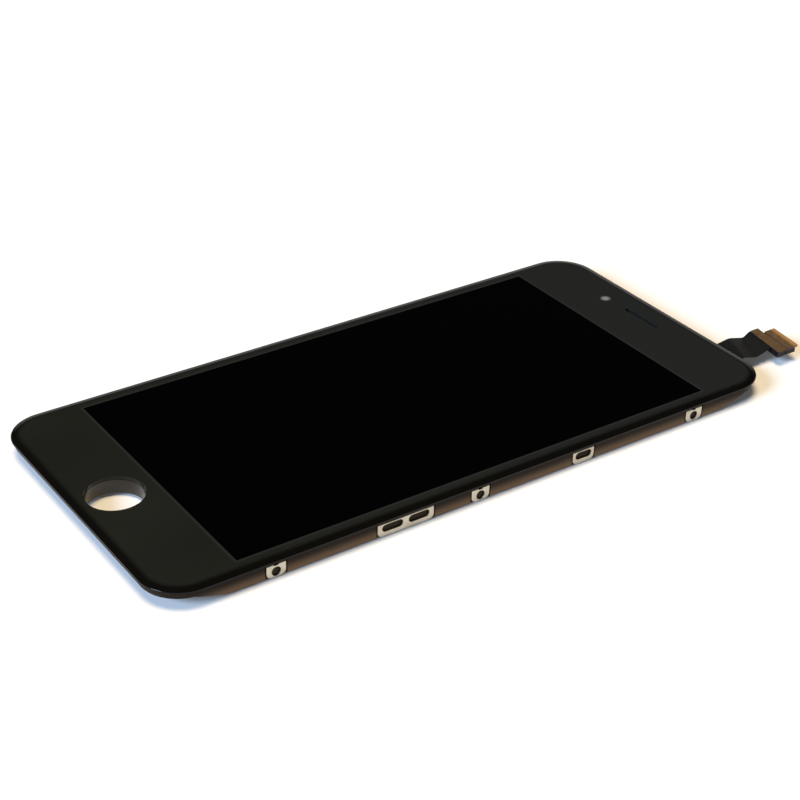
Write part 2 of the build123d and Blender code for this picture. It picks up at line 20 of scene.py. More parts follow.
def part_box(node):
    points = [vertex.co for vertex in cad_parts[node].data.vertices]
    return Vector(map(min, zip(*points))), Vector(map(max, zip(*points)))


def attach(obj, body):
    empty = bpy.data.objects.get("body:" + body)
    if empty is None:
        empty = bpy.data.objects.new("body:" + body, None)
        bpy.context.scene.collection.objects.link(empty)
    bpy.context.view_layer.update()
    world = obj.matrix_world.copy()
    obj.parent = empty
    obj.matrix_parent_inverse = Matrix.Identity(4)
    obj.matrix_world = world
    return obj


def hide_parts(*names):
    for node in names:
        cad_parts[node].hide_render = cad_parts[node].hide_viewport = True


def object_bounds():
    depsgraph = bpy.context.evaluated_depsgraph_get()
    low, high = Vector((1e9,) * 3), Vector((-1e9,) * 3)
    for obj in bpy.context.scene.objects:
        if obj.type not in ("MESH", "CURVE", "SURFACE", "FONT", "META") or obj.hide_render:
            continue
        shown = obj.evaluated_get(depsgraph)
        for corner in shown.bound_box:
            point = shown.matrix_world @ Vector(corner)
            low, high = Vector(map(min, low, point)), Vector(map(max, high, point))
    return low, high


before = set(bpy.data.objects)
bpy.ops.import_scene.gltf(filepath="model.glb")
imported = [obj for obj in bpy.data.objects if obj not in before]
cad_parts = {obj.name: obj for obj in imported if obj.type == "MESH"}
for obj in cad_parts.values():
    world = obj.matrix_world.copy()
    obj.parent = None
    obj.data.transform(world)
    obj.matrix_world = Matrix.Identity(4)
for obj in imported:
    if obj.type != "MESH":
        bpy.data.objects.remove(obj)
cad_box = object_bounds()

MM = 0.001
# Corners of a CAD mesh that lie closer than this are merged.
MERGE_MM = 0.0005
# How near a corner of the grille lies to the place where it is looked for.
NEAR_MM = 0.001
# Faces that meet within this many degrees become one flat face.
FLAT_DEGREES = 1.0
# Width of one band of the wave texture where its scale is 1.
WAVE_BAND = 2 * math.pi / 20
# How many finer layers the fine and the broad noise have.
FINE_DETAIL = 3.0
BROAD_DETAIL = 2.0
# Values of the fine noise that stand for the least and the most roughness.
NOISE_RANGE = (0.3, 0.7)
# Values of the broad noise between which one colour turns into the other.
PATCH_RANGE = (0.35, 0.65)

log = logging.getLogger("display_assembly")


class Slot(Enum):
    """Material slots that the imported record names."""

    COVER_GLASS = "cover_glass"
    BLACK_INK = "black_ink"
    CLEAR_ADHESIVE = "clear_adhesive"
    POLARISER_FILM = "polariser_film"
    PANEL_GLASS = "panel_glass"
    BLACK_CHIP = "black_chip"
    BLACK_TAPE = "black_tape"
    OPTICAL_FILM = "optical_film"
    CLEAR_ACRYLIC = "clear_acrylic"
    WHITE_FILM = "white_film"
    WHITE_MOULDING = "white_moulding"
    LED_STRIP_FILM = "led_strip_film"
    LED_LENS = "led_lens"
    PAN_STEEL = "pan_steel"
    FRAME_MOULDING = "frame_moulding"
    COLLAR_MOULDING = "collar_moulding"
    CLIP_METAL = "clip_metal"
    TAB_STEEL = "tab_steel"
    MESH_BLACK = "mesh_black"
    GASKET_RUBBER = "gasket_rubber"
    RING_MOULDING = "ring_moulding"
    FLEX_BLACK = "flex_black"
    TOUCH_FLEX_FILM = "touch_flex_film"
    STIFFENER_BROWN = "stiffener_brown"
    CONNECTOR_BLACK = "connector_black"
    CONTACT_GOLD = "contact_gold"
    CAPACITOR_TAN = "capacitor_tan"


class Lie(Enum):
    """Which way a surface's fine texture runs, as its scale along X, Y and Z."""

    EVEN = (1.0, 1.0, 1.0)
    ALONG_Y = (1.0, 0.03, 1.0)
    ALONG_X = (0.03, 1.0, 1.0)


class Axis(Enum):
    """Axis that a row of ridges is counted along."""

    X = "X"
    Y = "Y"


class Side(Enum):
    """The two long sides, as the node names give them."""

    LEFT = "left"
    RIGHT = "right"


def linear(code: str) -> tuple[float, float, float, float]:
    """Turn an sRGB hex colour into the linear colour that a shader takes.

    Args:
        code: Colour as "#RRGGBB".

    Returns:
        Linear red, green, blue and an alpha of 1.
    """
    parts = [int(code[start:start + 2], 16) / 255 for start in (1, 3, 5)]
    red, green, blue = (part / 12.92 if part <= 0.04045 else ((part + 0.055) / 1.055) ** 2.4
                        for part in parts)
    return red, green, blue, 1.0


def main_output(node: bpy.types.Node) -> bpy.types.NodeSocket:
    """Give the first output of a node that is in use."""
    return next(output for output in node.outputs if output.enabled)


def add_node(tree: bpy.types.NodeTree, kind: str, sockets: dict[str | int, Any] | None = None,
             **settings: Any) -> bpy.types.Node:
    """Add one shader node with its settings and links.

    Args:
        tree: Node tree that gets the node.
        kind: Blender's name of the node type, without "ShaderNode".
        sockets: Input name or number, to a value, a node or a node's output.
        settings: Properties of the node.

    Returns:
        The new node.
    """
    node = tree.nodes.new("ShaderNode" + kind)
    for name, value in settings.items():
        setattr(node, name, value)
    for key, value in (sockets or {}).items():
        named = [socket for socket in node.inputs if socket.name == key and socket.enabled]
        socket = node.inputs[key] if isinstance(key, int) else named[0]
        if isinstance(value, bpy.types.Node):
            value = main_output(value)
        if isinstance(value, bpy.types.NodeSocket):
            tree.links.new(value, socket)
        else:
            socket.default_value = value
    return node


@dataclass
class Canvas:
    """What a finish has drawn so far, for its pattern to build on.

    Fields:
        tree: Node tree of the material.
        shader: Its Principled shader.
        place: Object coordinates in metres.
        colour: Node that gives the colour.
        height: Node that gives the height of the relief, where 1 stands for relief_mm.
    """

    tree: bpy.types.NodeTree
    shader: bpy.types.Node
    place: bpy.types.NodeSocket
    colour: bpy.types.Node
    height: bpy.types.Node


@dataclass(frozen=True)
class Finish:
    """A surface finish: two near colours in broad patches, and a fine texture.

    Fields:
        name: Common name of the material and how its surface was made.
        colour: Main colour.
        shade: Colour of the patches.
        roughness: Middle roughness.
        spread: How far the roughness moves either way with the fine texture.
        grain_mm: Width of the fine texture.
        relief_mm: Height of the fine texture, or of the ridges, threads or cells over it.
        patch_mm: Width of the patches.
        lie: Which way the fine texture runs.
        metallic: 1 for bare metal.
        ior: Index of refraction, for what isn't metal.
        gloss: Strength of the mirror reflection; 0.5 is what the index gives.
    """

    name: str
    colour: str
    shade: str
    roughness: float
    spread: float
    grain_mm: float
    relief_mm: float
    patch_mm: float = 8.0
    lie: Lie = Lie.EVEN
    metallic: float = 0.0
    ior: float = 1.5
    gloss: float = 0.5

    def pattern(self, canvas: Canvas) -> None:
        """Draw what only this finish has; a plain finish has nothing more."""

    def build(self) -> bpy.types.Material:
        """Draw the finish as a material.

        Returns:
            The material.
        """
        material = bpy.data.materials.new(self.name)
        material.use_nodes = True
        tree = material.node_tree
        shader = tree.nodes["Principled BSDF"]
        shader.inputs["Metallic"].default_value = self.metallic
        if not self.metallic:
            shader.inputs["IOR"].default_value = self.ior
            shader.inputs["Specular IOR Level"].default_value = self.gloss
        place = add_node(tree, "TexCoord").outputs["Object"]
        laid = add_node(tree, "Mapping", {"Vector": place, "Scale": self.lie.value})
        fine = add_node(tree, "TexNoise", {
            "Vector": laid, "Scale": 1 / (self.grain_mm * MM), "Detail": FINE_DETAIL})
        broad = add_node(tree, "TexNoise", {
            "Vector": place, "Scale": 1 / (self.patch_mm * MM), "Detail": BROAD_DETAIL})
        patches = add_node(tree, "MapRange", {
            "Value": broad, "From Min": PATCH_RANGE[0], "From Max": PATCH_RANGE[1]})
        colour = add_node(tree, "Mix", {
            "Factor": patches, "A": linear(self.colour), "B": linear(self.shade)}, data_type="RGBA")
        roughness = add_node(tree, "MapRange", {
            "Value": fine, "From Min": NOISE_RANGE[0], "From Max": NOISE_RANGE[1],
            "To Min": self.roughness - self.spread, "To Max": self.roughness + self.spread})
        canvas = Canvas(tree, shader, place, colour, fine)
        self.pattern(canvas)
        bump = add_node(tree, "Bump", {
            "Height": canvas.height, "Distance": self.relief_mm * MM, "Strength": 1.0})
        tree.links.new(main_output(canvas.colour), shader.inputs["Base Color"])
        tree.links.new(main_output(roughness), shader.inputs["Roughness"])
        tree.links.new(main_output(bump), shader.inputs["Normal"])
        return material


@dataclass(frozen=True)
class PrintedGlass(Finish):
    """Toughened cover glass, printed black behind, with the dark picture area showing through.

    Fields:
        half_size_mm: Half the glass's width and length.
        corner_mm: Radius of its corners.
        edge_run_mm: Width of the curved run round the edge.
        edge_lead_mm: How far before the run its colour starts to show.
        edge_full: Share of the run's width at which its colour is full.
        edge_shade_colour: Painted shade of the run, darker where the eye looks into the glass's
            curved edge.
        far_reflection_colour: Painted reflection on the print at the earpiece end, a little cooler
            and paler than at the home end.
        window_mm: Half the picture area's width and length.
        window_blur_mm: How far its outline is soft either way.
        window_colour: Colour of the picture area, a switched-off panel.
        border_mm: Width of the paler border of the print, where the panel's edge lies behind it.
        border_colour: Colour of that border.
        spot_mm: Centre of the clear spot for the camera.
        spot_radius_mm: Radius of that spot.
        spot_fade: Where its painted light starts to fade and where it ends, as shares of that
            radius.
        spot_floor_light_colour: Painted light: the grey of the lit floor seen through the clear
            spot.
    """

    half_size_mm: tuple[float, float] = (32.6, 68.1)
    corner_mm: float = 8.0
    edge_run_mm: float = 1.8
    edge_lead_mm: float = 0.4
    edge_full: float = 0.5
    edge_shade_colour: str = "#0B0A08"
    far_reflection_colour: str = "#1F2120"
    window_mm: tuple[float, float] = (29.25, 52.0)
    window_blur_mm: float = 0.03
    window_colour: str = "#020102"
    border_mm: float = 0.7
    border_colour: str = "#272927"
    spot_mm: tuple[float, float] = (-11.0, 61.3)
    spot_radius_mm: float = 1.1
    spot_fade: tuple[float, float] = (0.2, 1.25)
    spot_floor_light_colour: str = "#7E7E7B"

    def pattern(self, canvas: Canvas) -> None:
        """Draw the painted edge shade, the picture area and the camera spot's painted light on the
        glass.

        Args:
            canvas: What is drawn so far.
        """
        tree = canvas.tree
        flat = add_node(tree, "VectorMath", {0: canvas.place, 1: (1.0, 1.0, 0.0)},
                        operation="MULTIPLY")
        quarter = add_node(tree, "VectorMath", {0: flat}, operation="ABSOLUTE")
        corner = [(half - self.corner_mm) * MM for half in self.half_size_mm]
        past = add_node(tree, "VectorMath", {0: quarter, 1: (*corner, 0.0)}, operation="SUBTRACT")
        outside = add_node(tree, "VectorMath", {0: past, 1: (0.0, 0.0, 0.0)}, operation="MAXIMUM")
        reach = add_node(tree, "VectorMath", {0: outside}, operation="LENGTH").outputs["Value"]
        run_start = (self.corner_mm - self.edge_run_mm) * MM
        edge = add_node(tree, "MapRange", {
            "Value": reach, "From Min": run_start - self.edge_lead_mm * MM,
            "From Max": run_start + self.edge_full * self.edge_run_mm * MM},
            interpolation_type="SMOOTHSTEP")
        along = add_node(tree, "SeparateXYZ", {"Vector": canvas.place}).outputs["Y"]
        window = [half * MM for half in self.window_mm]
        far = add_node(tree, "MapRange", {
            "Value": along, "From Min": -window[1], "From Max": window[1]})
        over = add_node(tree, "VectorMath", {0: quarter, 1: (*window, 0.0)}, operation="SUBTRACT")
        sides = add_node(tree, "SeparateXYZ", {"Vector": over})
        farthest = add_node(tree, "Math", {0: sides.outputs["X"], 1: sides.outputs["Y"]},
                            operation="MAXIMUM")
        picture = add_node(tree, "MapRange", {
            "Value": farthest, "From Min": -self.window_blur_mm * MM,
            "From Max": self.window_blur_mm * MM, "To Min": 1.0, "To Max": 0.0})
        border = add_node(tree, "MapRange", {
            "Value": farthest, "From Max": self.border_mm * MM, "To Min": 1.0, "To Max": 0.0})
        centre = [part * MM for part in self.spot_mm]
        apart = add_node(tree, "VectorMath", {0: flat, 1: (*centre, 0.0)}, operation="DISTANCE")
        full, gone = (share * self.spot_radius_mm * MM for share in self.spot_fade)
        spot = add_node(tree, "MapRange", {
            "Value": apart.outputs["Value"], "From Min": full, "From Max": gone,
            "To Min": 1.0, "To Max": 0.0}, interpolation_type="SMOOTHSTEP")
        # Painted: a cooler reflection at the far end, shade on the edge run, light through the
        # spot.
        for mask, code in ((far, self.far_reflection_colour), (border, self.border_colour),
                           (edge, self.edge_shade_colour), (picture, self.window_colour),
                           (spot, self.spot_floor_light_colour)):
            canvas.colour = add_node(tree, "Mix", {
                "Factor": mask, "A": canvas.colour, "B": linear(code)}, data_type="RGBA")


@dataclass(frozen=True)
class WallMoulding(Finish):
    """Frame moulding: near black at the glass, with painted floor bounce light, a warmer brown,
    towards its lower edge.

    Fields:
        top_mm: Height at which the painted bounce light starts.
        foot_mm: Height at which it is full.
        floor_bounce_colour: The brown of the painted bounce light from the floor on the lower edge.
        skin_mm: Where the outer skin starts, counted from the middle line.
        skin_fade_mm: Depth over which the skin's painted bounce light comes in.
        pocket_share: How much of the painted bounce light the clip pockets behind that skin take;
            the rest is painted shade.
    """

    top_mm: float = -1.5
    foot_mm: float = -4.2
    floor_bounce_colour: str = "#7C644C"
    skin_mm: float = 31.55
    skin_fade_mm: float = 0.2
    pocket_share: float = 0.3

    def pattern(self, canvas: Canvas) -> None:
        """Draw the painted bounce light towards the foot, with less of it in the clip pockets as
        painted shade.

        Args:
            canvas: What is drawn so far.
        """
        tree = canvas.tree
        place = add_node(tree, "SeparateXYZ", {"Vector": canvas.place}).outputs
        # Painted light: the floor's warm bounce is drawn as brown towards the foot; pockets get
        # less, as painted shade.
        lowered = add_node(tree, "MapRange", {
            "Value": place["Z"], "From Min": self.top_mm * MM, "From Max": self.foot_mm * MM},
            interpolation_type="SMOOTHSTEP")
        outwards = add_node(tree, "Math", {0: place["X"]}, operation="ABSOLUTE")
        skin = add_node(tree, "MapRange", {
            "Value": outwards, "From Min": self.skin_mm * MM,
            "From Max": (self.skin_mm + self.skin_fade_mm) * MM, "To Min": self.pocket_share})
        share = add_node(tree, "Math", {0: lowered, 1: skin}, operation="MULTIPLY")
        canvas.colour = add_node(tree, "Mix", {
            "Factor": share, "A": canvas.colour, "B": linear(self.floor_bounce_colour)}, data_type="RGBA")


@dataclass(frozen=True)
class TracedFilm(Finish):
    """A film with long low ridges: copper traces under a cover film, or the ribs of a prism film.

    Fields:
        pitch_mm: Distance from ridge to ridge.
        ridge_colour: Colour over a ridge: paler copper traces on circuit films, a painted sheen on
            a prism film's ribs.
        ridge_share: How much of that colour shows.
        ridge_range: Where a ridge starts to rise and where it is full, on a wave from 0 to 1.
        grain_share: Height of the fine texture against the ridges.
        across: Axis that the ridges are counted along.
    """

    pitch_mm: float = 0.5
    ridge_colour: str = "#000000"
    ridge_share: float = 0.6
    ridge_range: tuple[float, float] = (0.45, 0.6)
    grain_share: float = 0.15
    across: Axis = Axis.X

    def pattern(self, canvas: Canvas) -> None:
        """Draw the ridges.

        Args:
            canvas: What is drawn so far.
        """
        tree = canvas.tree
        ridges = add_node(tree, "TexWave", {
            "Vector": canvas.place, "Scale": WAVE_BAND / (self.pitch_mm * MM), "Distortion": 0.0},
            wave_type="BANDS", bands_direction=self.across.value, wave_profile="SIN")
        tops = add_node(tree, "MapRange", {
            "Value": ridges.outputs["Fac"], "From Min": self.ridge_range[0],
            "From Max": self.ridge_range[1]})
        faded = add_node(tree, "Math", {0: tops, 1: self.ridge_share}, operation="MULTIPLY")
        canvas.colour = add_node(tree, "Mix", {
            "Factor": faded, "A": canvas.colour, "B": linear(self.ridge_colour)}, data_type="RGBA")
        canvas.height = add_node(tree, "Math", {0: canvas.height, 1: self.grain_share, 2: tops},
                                 operation="MULTIPLY_ADD")


@dataclass(frozen=True)
class WovenLaminate(Finish):
    """Glass-cloth laminate: a faint weave on its faces, a darker cut edge and a painted highlight
    at the far edge.

    Fields:
        thread_mm: Distance from thread to thread.
        thread_wander: How unevenly the threads run.
        thread_colour: Colour where a thread lies on top.
        grain_share: Height of the fine texture against the threads.
        cut_range: How level a face is where it is all cut edge, and where it is none; 1 is level.
        cut_colour: Colour of the faces that don't lie level, the sheared edges: darker and redder.
        highlight_from_mm: Where the painted highlight along the far edge starts, counted along Y.
        highlight_blur_mm: How far the highlight's outline is soft either way.
        highlight_lean: How far that highlight leans towards -Y per millimetre along X.
        far_highlight_colour: Colour of the painted highlight, an amber glint along the far edge.
    """

    thread_mm: float = 0.45
    thread_wander: float = 0.4
    thread_colour: str = "#6A5334"
    grain_share: float = 0.3
    cut_range: tuple[float, float] = (0.3, 0.8)
    cut_colour: str = "#463230"
    highlight_from_mm: float = 84.2
    highlight_blur_mm: float = 0.4
    highlight_lean: float = 0.12
    far_highlight_colour: str = "#9C7145"

    def pattern(self, canvas: Canvas) -> None:
        """Draw the weave, the cut edges and the painted highlight along the far edge.

        Args:
            canvas: What is drawn so far.
        """
        tree = canvas.tree
        warp, weft = (add_node(tree, "TexWave", {
            "Vector": canvas.place, "Scale": WAVE_BAND / (self.thread_mm * MM),
            "Distortion": self.thread_wander}, wave_type="BANDS", bands_direction=axis.value,
            wave_profile="SIN").outputs["Fac"] for axis in Axis)
        weave = add_node(tree, "Math", {0: warp, 1: weft}, operation="MULTIPLY")
        canvas.colour = add_node(tree, "Mix", {
            "Factor": weave, "A": canvas.colour, "B": linear(self.thread_colour)}, data_type="RGBA")
        canvas.height = add_node(tree, "Math", {0: canvas.height, 1: self.grain_share, 2: weave},
                                 operation="MULTIPLY_ADD")
        facing = add_node(tree, "NewGeometry").outputs["True Normal"]
        upwards = add_node(tree, "SeparateXYZ", {"Vector": facing}).outputs["Z"]
        level = add_node(tree, "Math", {0: upwards}, operation="ABSOLUTE")
        cut = add_node(tree, "MapRange", {
            "Value": level, "From Min": self.cut_range[0], "From Max": self.cut_range[1],
            "To Min": 1.0, "To Max": 0.0})
        # Painted highlight: the far strip is drawn amber where the edge catches the warm light.
        along = add_node(tree, "VectorMath", {0: canvas.place, 1: (self.highlight_lean, 1.0, 0.0)},
                         operation="DOT_PRODUCT")
        bare = add_node(tree, "MapRange", {
            "Value": along.outputs["Value"],
            "From Min": (self.highlight_from_mm - self.highlight_blur_mm) * MM,
            "From Max": (self.highlight_from_mm + self.highlight_blur_mm) * MM})
        for mask, code in ((cut, self.cut_colour), (bare, self.far_highlight_colour)):
            canvas.colour = add_node(tree, "Mix", {
                "Factor": mask, "A": canvas.colour, "B": linear(code)}, data_type="RGBA")


@dataclass(frozen=True)
class CellularFilm(Finish):
    """A surface made of small round cells: foam pores, or the dots of a light guide.

    Fields:
        cell_mm: Distance from cell to cell.
        cell_fade: Where a cell starts to fade and where it ends, as shares of that distance.
        cell_colour: Colour at a cell's middle: white print for the light guide's dots, painted
            shade in the foam's pores.
    """

    cell_mm: float = 0.3
    cell_fade: tuple[float, float] = (0.15, 0.4)
    cell_colour: str = "#000000"

    def pattern(self, canvas: Canvas) -> None:
        """Draw the cells.

        Args:
            canvas: What is drawn so far.
        """
        tree = canvas.tree
        cells = add_node(tree, "TexVoronoi", {
            "Vector": canvas.place, "Scale": 1 / (self.cell_mm * MM)})
        middle = add_node(tree, "MapRange", {
            "Value": cells.outputs["Distance"], "From Min": self.cell_fade[0],
            "From Max": self.cell_fade[1], "To Min": 1.0, "To Max": 0.0})
        canvas.colour = add_node(tree, "Mix", {
            "Factor": middle, "A": canvas.colour, "B": linear(self.cell_colour)}, data_type="RGBA")
        canvas.height = add_node(tree, "Math", {0: canvas.height, 1: middle}, operation="SUBTRACT")


@dataclass(frozen=True)
class RolledSheet(Finish):
    """Rolled sheet metal: fine rolling lines on a surface that is never quite flat.

    Fields:
        wave_mm: Width of the slow waves in the sheet.
        wave_share: Height of those waves against the fine lines.
    """

    wave_mm: float = 14.0
    wave_share: float = 12.0

    def pattern(self, canvas: Canvas) -> None:
        """Draw the slow waves under the rolling lines.

        Args:
            canvas: What is drawn so far.
        """
        tree = canvas.tree
        slow = add_node(tree, "TexNoise", {
            "Vector": canvas.place, "Scale": 1 / (self.wave_mm * MM), "Detail": 0.0})
        canvas.height = add_node(tree, "Math", {0: slow, 1: self.wave_share, 2: canvas.height},
                                 operation="MULTIPLY_ADD")


@dataclass(frozen=True)
class ChipCapacitor(Finish):
    """Ceramic chip capacitor: a tan body between two tinned ends.

    Fields:
        first_mm: Middle of the first column along X.
        pitch_mm: Distance from column to column.
        body_mm: Half the length of the bare body.
        end_colour: Colour of the tinned ends.
    """

    first_mm: float = 18.0
    pitch_mm: float = 2.0
    body_mm: float = 0.26
    end_colour: str = "#C9C8C4"

    def pattern(self, canvas: Canvas) -> None:
        """Draw the tinned ends.

        Args:
            canvas: What is drawn so far.
        """
        tree = canvas.tree
        along = add_node(tree, "SeparateXYZ", {"Vector": canvas.place}).outputs["X"]
        low = (self.first_mm - self.pitch_mm / 2) * MM
        high = (self.first_mm + self.pitch_mm / 2) * MM
        wrapped = add_node(tree, "Math", {0: along, 1: high, 2: low}, operation="WRAP")
        offset = add_node(tree, "Math", {0: wrapped, 1: self.first_mm * MM}, operation="SUBTRACT")
        apart = add_node(tree, "Math", {0: offset}, operation="ABSOLUTE")
        tinned = add_node(tree, "Math", {0: apart, 1: self.body_mm * MM}, operation="GREATER_THAN")
        canvas.colour = add_node(tree, "Mix", {
            "Factor": tinned, "A": canvas.colour, "B": linear(self.end_colour)}, data_type="RGBA")
        tree.links.new(main_output(tinned), canvas.shader.inputs["Metallic"])


@dataclass(frozen=True)
class ClearSheet(Finish):
    """A see-through layer: most light goes through it.

    Fields:
        clear: Share of the light that goes through.
    """

    clear: float = 0.9

    def pattern(self, canvas: Canvas) -> None:
        """Let the light through."""
        canvas.shader.inputs["Transmission Weight"].default_value = self.clear


# Each slot has the material that the real part is made of.
FINISHES: dict[Slot, Finish] = {
    # Toughened glass over black print: a deep, wet-looking black with a faint warm cast.
    # Its darker edge run, paler far end and grey camera spot are painted shade, reflection and
    # light.
    Slot.COVER_GLASS: PrintedGlass(
        "toughened_glass_polished", "#1B1C18", "#1F201C", 0.035, 0.01, 3.0, 0.0002, 30.0,
        ior=1.51, gloss=0.18),
    # Screen-printed ink: an even, dull black with the faint grain of the printing mesh.
    Slot.BLACK_INK: Finish(
        "ink_screen_printed", "#141513", "#1A1B19", 0.55, 0.08, 0.12, 0.002, 6.0),
    # Acrylic adhesive, cast clear: a soft, glassy edge.
    Slot.CLEAR_ADHESIVE: ClearSheet(
        "acrylic_adhesive_cast", "#F1F1EC", "#E6E8E2", 0.12, 0.04, 0.8, 0.002, 10.0, ior=1.47),
    # Stretched polarising film: smoky near-black with drawing lines along its length.
    Slot.POLARISER_FILM: Finish(
        "polarising_film_stretched", "#17171A", "#1E1D22", 0.18, 0.05, 0.2, 0.001, 12.0,
        Lie.ALONG_Y),
    # Display glass with ground edges: dark grey-green with a frosted sheen.
    Slot.PANEL_GLASS: Finish(
        "display_glass_ground", "#2A3330", "#37423E", 0.3, 0.1, 0.15, 0.003, 5.0, ior=1.51),
    # Moulded epoxy: matt black with a sandy skin.
    Slot.BLACK_CHIP: Finish("epoxy_moulded", "#1B1B1C", "#232324", 0.55, 0.12, 0.12, 0.006, 2.0),
    # Polyester tape: satin black with faintly paler patches.
    Slot.BLACK_TAPE: Finish(
        "polyester_tape_calendered", "#131313", "#1A1A1A", 0.38, 0.1, 0.5, 0.004, 5.0),
    # Prism film: milky with fine ribs. Real ribs are about ten times finer; these are drawn
    # coarser, so that they show. Their paler tops are a painted sheen.
    Slot.OPTICAL_FILM: TracedFilm(
        "prism_film_embossed", "#D9DDE0", "#CBD0D6", 0.22, 0.05, 0.4, 0.01, 12.0,
        pitch_mm=0.4, ridge_colour="#EEF2F5"),
    # Cast acrylic light guide: a pale, cold green with white scattering dots.
    Slot.CLEAR_ACRYLIC: CellularFilm(
        "acrylic_cast_dotted", "#DCE6E4", "#D2DEDC", 0.12, 0.03, 0.5, 0.006, 15.0, ior=1.49,
        cell_mm=0.5, cell_colour="#F8FAFA"),
    # White polyester reflector: chalky and even.
    Slot.WHITE_FILM: Finish(
        "polyester_foamed_white", "#EDEDE8", "#E4E4DE", 0.6, 0.08, 0.2, 0.003, 9.0),
    # White polycarbonate, moulded: a soft satin, a little yellower in places.
    Slot.WHITE_MOULDING: Finish(
        "polycarbonate_moulded_white", "#E6E5DF", "#D9D7CF", 0.42, 0.08, 0.3, 0.006, 5.0),
    # Amber circuit film: satin, with paler lines where the copper is.
    Slot.LED_STRIP_FILM: TracedFilm(
        "polyimide_strip_etched", "#C9A463", "#B98F4E", 0.4, 0.06, 0.3, 0.006, 6.0,
        pitch_mm=0.8, ridge_colour="#D9B98A", across=Axis.Y),
    # Phosphor-filled silicone: a waxy yellow.
    Slot.LED_LENS: Finish(
        "silicone_phosphor_cast", "#E8D04A", "#DCC03C", 0.35, 0.06, 0.15, 0.004, 1.5, ior=1.43),
    # Rolled stainless steel: long rolling lines, slow waves and a grey sheen.
    Slot.PAN_STEEL: RolledSheet(
        "stainless_steel_rolled", "#B9B9B6", "#A9AAA8", 0.3, 0.1, 0.22, 0.0016, 16.0,
        Lie.ALONG_Y, 1.0),
    # Glass-filled nylon, moulded: a dark, warm brown-black, nearly matt, with fine orange peel.
    # The brown towards its foot is painted bounce light from the floor.
    Slot.FRAME_MOULDING: WallMoulding(
        "nylon_glass_filled_moulded", "#1B130C", "#21170E", 0.5, 0.06, 0.3, 0.002, 5.0,
        ior=1.53, gloss=0.1),
    # Polycarbonate, moulded in a polished tool: near black and shiny.
    Slot.COLLAR_MOULDING: Finish(
        "polycarbonate_moulded_gloss", "#101114", "#15161A", 0.14, 0.03, 0.6, 0.001, 4.0,
        ior=1.6, gloss=0.4),
    # Nickel-plated spring steel: a warm matt grey with faint rolling lines along the clip.
    Slot.CLIP_METAL: RolledSheet(
        "spring_steel_nickel_plated", "#C6BFB0", "#B9B1A0", 0.4, 0.1, 0.16, 0.0016, 2.2,
        Lie.ALONG_Y, 1.0, wave_mm=3.0, wave_share=3.0),
    # Cold-rolled steel, tumbled after pressing: duller and greyer than the clips.
    Slot.TAB_STEEL: RolledSheet(
        "carbon_steel_tumbled", "#A7A49C", "#97938A", 0.42, 0.12, 0.14, 0.002, 2.5,
        Lie.ALONG_X, 1.0, wave_mm=3.0, wave_share=3.0),
    # Etched steel with a black coating: matt and slightly patchy.
    Slot.MESH_BLACK: Finish(
        "steel_etched_blackened", "#2C2D2C", "#343533", 0.42, 0.12, 0.1, 0.003, 1.5),
    # Closed-cell foam rubber: soft charcoal full of pores, their darker middles painted shade.
    Slot.GASKET_RUBBER: CellularFilm(
        "foam_rubber_die_cut", "#232324", "#2B2B2C", 0.85, 0.08, 0.15, 0.02, 2.0,
        cell_mm=0.22, cell_colour="#101010"),
    # Moulded acetal: satin black.
    Slot.RING_MOULDING: Finish(
        "acetal_moulded", "#171718", "#1F1F20", 0.34, 0.07, 0.25, 0.004, 2.0, ior=1.48),
    # Black polyimide cover film over copper: dull, with the traces just raised and a shade paler.
    Slot.FLEX_BLACK: TracedFilm(
        "polyimide_cover_film_black", "#131310", "#171714", 0.55, 0.07, 0.5, 0.004, 5.0,
        gloss=0.12, pitch_mm=0.7, ridge_colour="#1A1A17"),
    # Amber polyimide over copper: a satin orange-brown with paler traces.
    Slot.TOUCH_FLEX_FILM: TracedFilm(
        "polyimide_cover_film_amber", "#6E3F14", "#7A4919", 0.32, 0.06, 0.5, 0.004, 5.0,
        pitch_mm=0.6, ridge_colour="#8A5A26"),
    # Glass-cloth laminate, brown: a faint weave, a darker cut edge and a painted amber highlight at
    # the far edge.
    Slot.STIFFENER_BROWN: WovenLaminate(
        "glass_cloth_laminate_pressed", "#452F1E", "#594826", 0.5, 0.08, 0.3, 0.006, 1.1,
        gloss=0.3),
    # Liquid-crystal polymer, moulded: matt black with flow lines and a cold tint.
    Slot.CONNECTOR_BLACK: Finish(
        "liquid_crystal_polymer_moulded", "#0F0E10", "#151417", 0.45, 0.1, 0.18, 0.004, 1.5,
        Lie.ALONG_X, gloss=0.2),
    # Gold over nickel, plated: bright yellow with drawing lines.
    Slot.CONTACT_GOLD: RolledSheet(
        "gold_plated_copper_alloy", "#E0B65A", "#D0A44A", 0.24, 0.08, 0.1, 0.001, 1.0,
        Lie.ALONG_Y, 1.0, wave_mm=1.0, wave_share=2.0),
    # Barium titanate ceramic with tinned ends: matt tan between two dull silver caps.
    Slot.CAPACITOR_TAN: ChipCapacitor(
        "ceramic_capacitor_fired", "#9C7A55", "#8C6A48", 0.42, 0.08, 0.1, 0.004, 1.0),
}


class Wardrobe:
    """The finishes as materials, and the hand that puts them on."""

    def __init__(self) -> None:
        """Build every finish once."""
        self.materials: dict[Slot, bpy.types.Material] = {
            slot: finish.build() for slot, finish in FINISHES.items()}

    def dress_nodes(self) -> None:
        """Give each CAD node the finish that its slot names."""
        for name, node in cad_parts.items():
            for holder in node.material_slots:
                holder.material = self.materials[Slot(holder.material.name.split(".")[0])]
            log.info("dressed %s", name)

    def dress_piece(self, piece: bpy.types.Object, slot: Slot) -> None:
        """Give a new piece the finish of its slot.

        Args:
            piece: The new piece.
            slot: Slot of the record that it takes its finish from.
        """
        piece.data.materials.clear()
        piece.data.materials.append(self.materials[slot])


